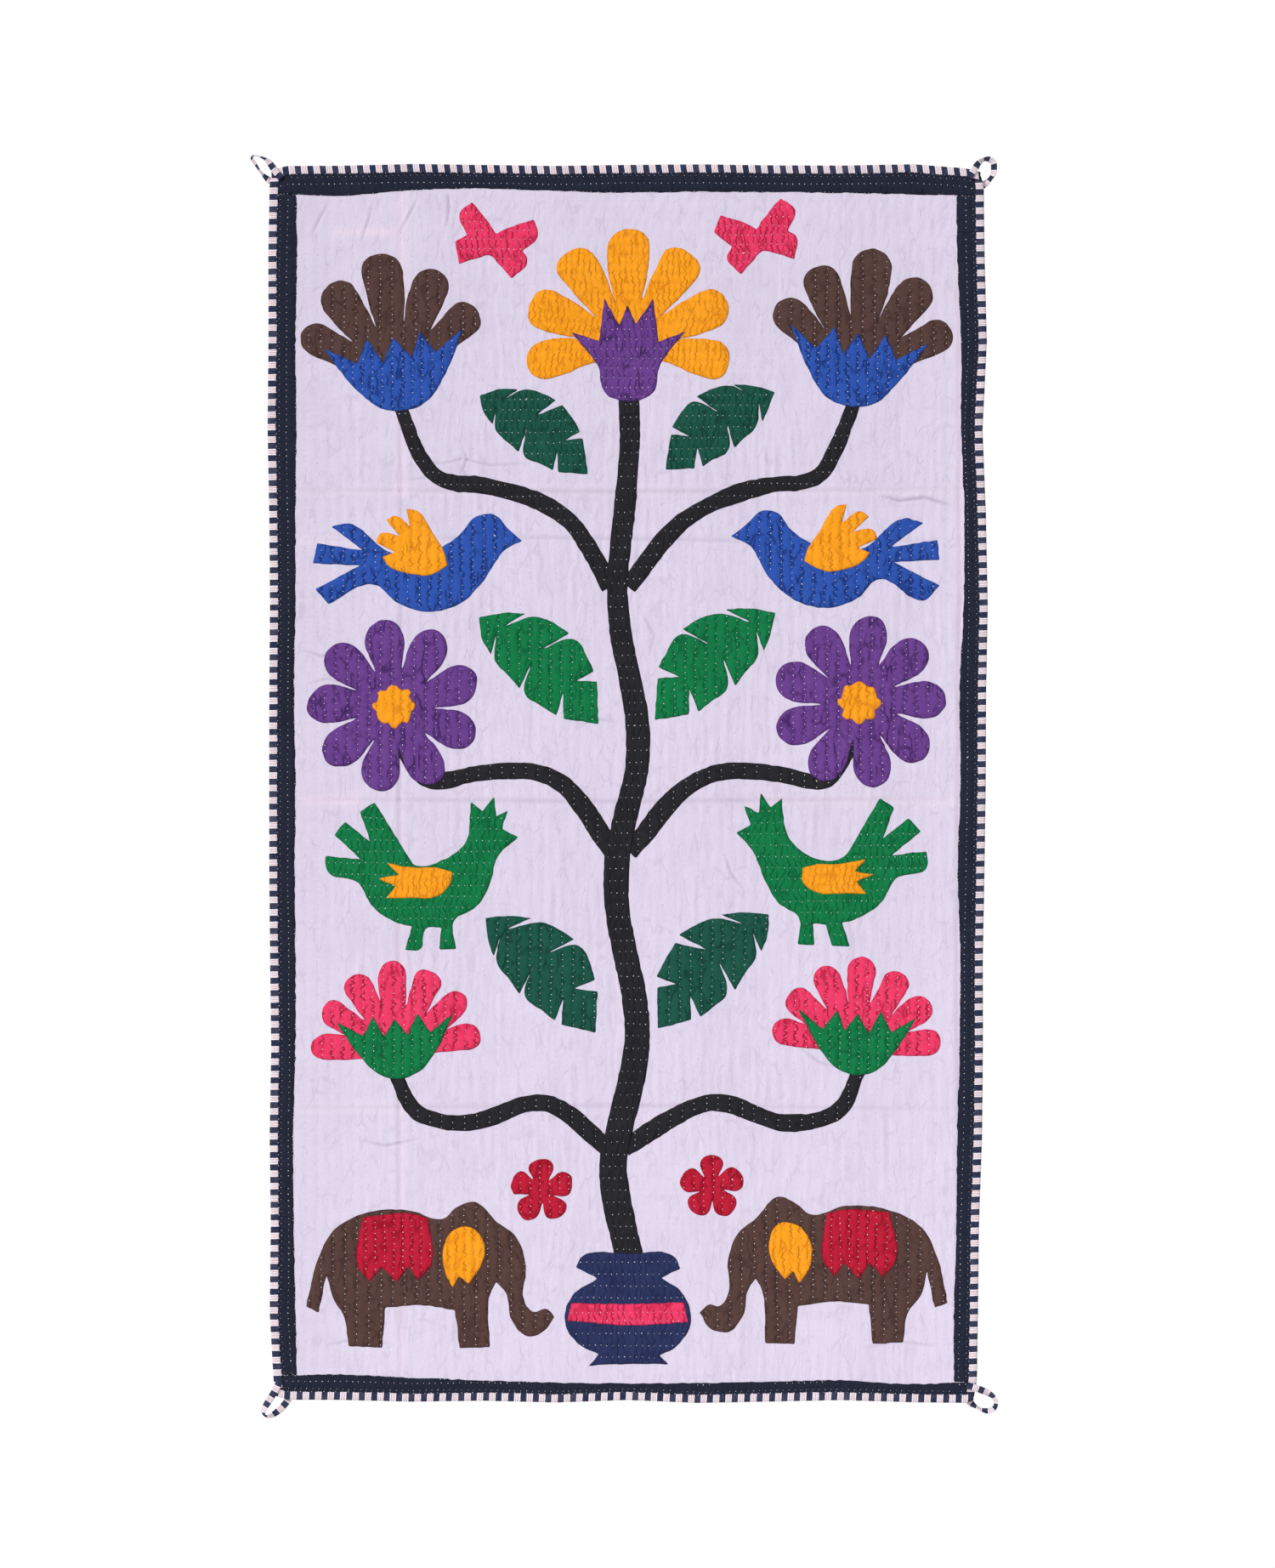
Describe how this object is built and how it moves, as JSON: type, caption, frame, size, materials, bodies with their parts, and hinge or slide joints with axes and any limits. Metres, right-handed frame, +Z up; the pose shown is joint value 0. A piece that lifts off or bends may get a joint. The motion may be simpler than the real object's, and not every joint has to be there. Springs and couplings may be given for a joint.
{
  "type": "textile wall hanging",
  "caption": "Upright rectangular quilted cotton wall hanging with raised stitched channels, sewn-on cloth motifs, dark border strips, a striped edge binding and a tape loop at each corner.",
  "frame": {"origin": "middle of the top edge, in the plane of the back face", "axes": "+X to the right as seen from the front, +Z up along the height, -Y out of the decorated front"},
  "size_m": [0.9322, 0.0128, 1.5747],
  "materials": {
    "lilac_cotton": "pale lilac plain-weave cotton, hand quilted, matt",
    "border_navy_cotton": "plain dyed cotton, matt, with running stitch",
    "striped_tape": "woven tape with navy bars and pale bars that hold fine rose lines, matt",
    "black_cotton": "plain dyed cotton, matt, with running stitch",
    "gold_cotton": "plain dyed cotton, matt, with running stitch",
    "purple_cotton": "plain dyed cotton, matt, with running stitch",
    "brown_cotton": "plain dyed cotton, matt, with running stitch",
    "royal_blue_cotton": "plain dyed cotton, matt, with running stitch",
    "green_cotton": "plain dyed cotton, matt, with running stitch",
    "pink_cotton": "plain dyed cotton, matt, with running stitch",
    "red_cotton": "plain dyed cotton, matt, with running stitch",
    "navy_cotton": "plain dyed cotton, matt, with running stitch",
    "dark_green_cotton": "plain dyed cotton, matt, with running stitch"
  },
  "bodies": {
    "root": {"quilted_ground": "lilac_cotton", "border_top": "border_navy_cotton", "border_bottom": "border_navy_cotton", "border_left": "border_navy_cotton", "border_right": "border_navy_cotton", "binding_top": "striped_tape", "binding_bottom": "striped_tape", "binding_left": "striped_tape", "binding_right": "striped_tape", "loop_top_left": "striped_tape", "loop_top_right": "striped_tape", "loop_bottom_left": "striped_tape", "loop_bottom_right": "striped_tape", "branch_low_left": "black_cotton", "branch_low_right": "black_cotton", "branch_middle_left": "black_cotton", "branch_middle_right": "black_cotton", "branch_top_left": "black_cotton", "branch_top_right": "black_cotton", "trunk": "black_cotton", "lotus": "gold_cotton", "lotus_heart": "purple_cotton", "tulip_left": "brown_cotton", "tulip_right": "brown_cotton", "tulip_calyx_left": "royal_blue_cotton", "tulip_calyx_right": "royal_blue_cotton", "dove_left": "royal_blue_cotton", "dove_right": "royal_blue_cotton", "dove_wing_left": "gold_cotton", "dove_wing_right": "gold_cotton", "daisy_left": "purple_cotton", "daisy_right": "purple_cotton", "daisy_eye_left": "gold_cotton", "daisy_eye_right": "gold_cotton", "hen_left": "green_cotton", "hen_right": "green_cotton", "hen_wing_left": "gold_cotton", "hen_wing_right": "gold_cotton", "carnation_left": "pink_cotton", "carnation_right": "pink_cotton", "carnation_calyx_left": "green_cotton", "carnation_calyx_right": "green_cotton", "elephant_left": "brown_cotton", "elephant_right": "brown_cotton", "saddle_left": "red_cotton", "saddle_right": "red_cotton", "ear_left": "gold_cotton", "ear_right": "gold_cotton", "star_left": "red_cotton", "star_right": "red_cotton", "pot": "navy_cotton", "pot_band": "pink_cotton", "leaf_top_left": "dark_green_cotton", "leaf_top_right": "dark_green_cotton", "leaf_upper_left": "green_cotton", "leaf_upper_right": "green_cotton", "leaf_lower_left": "dark_green_cotton", "leaf_lower_right": "dark_green_cotton", "butterfly_left": "pink_cotton", "butterfly_right": "pink_cotton"}
  },
  "joints": []
}
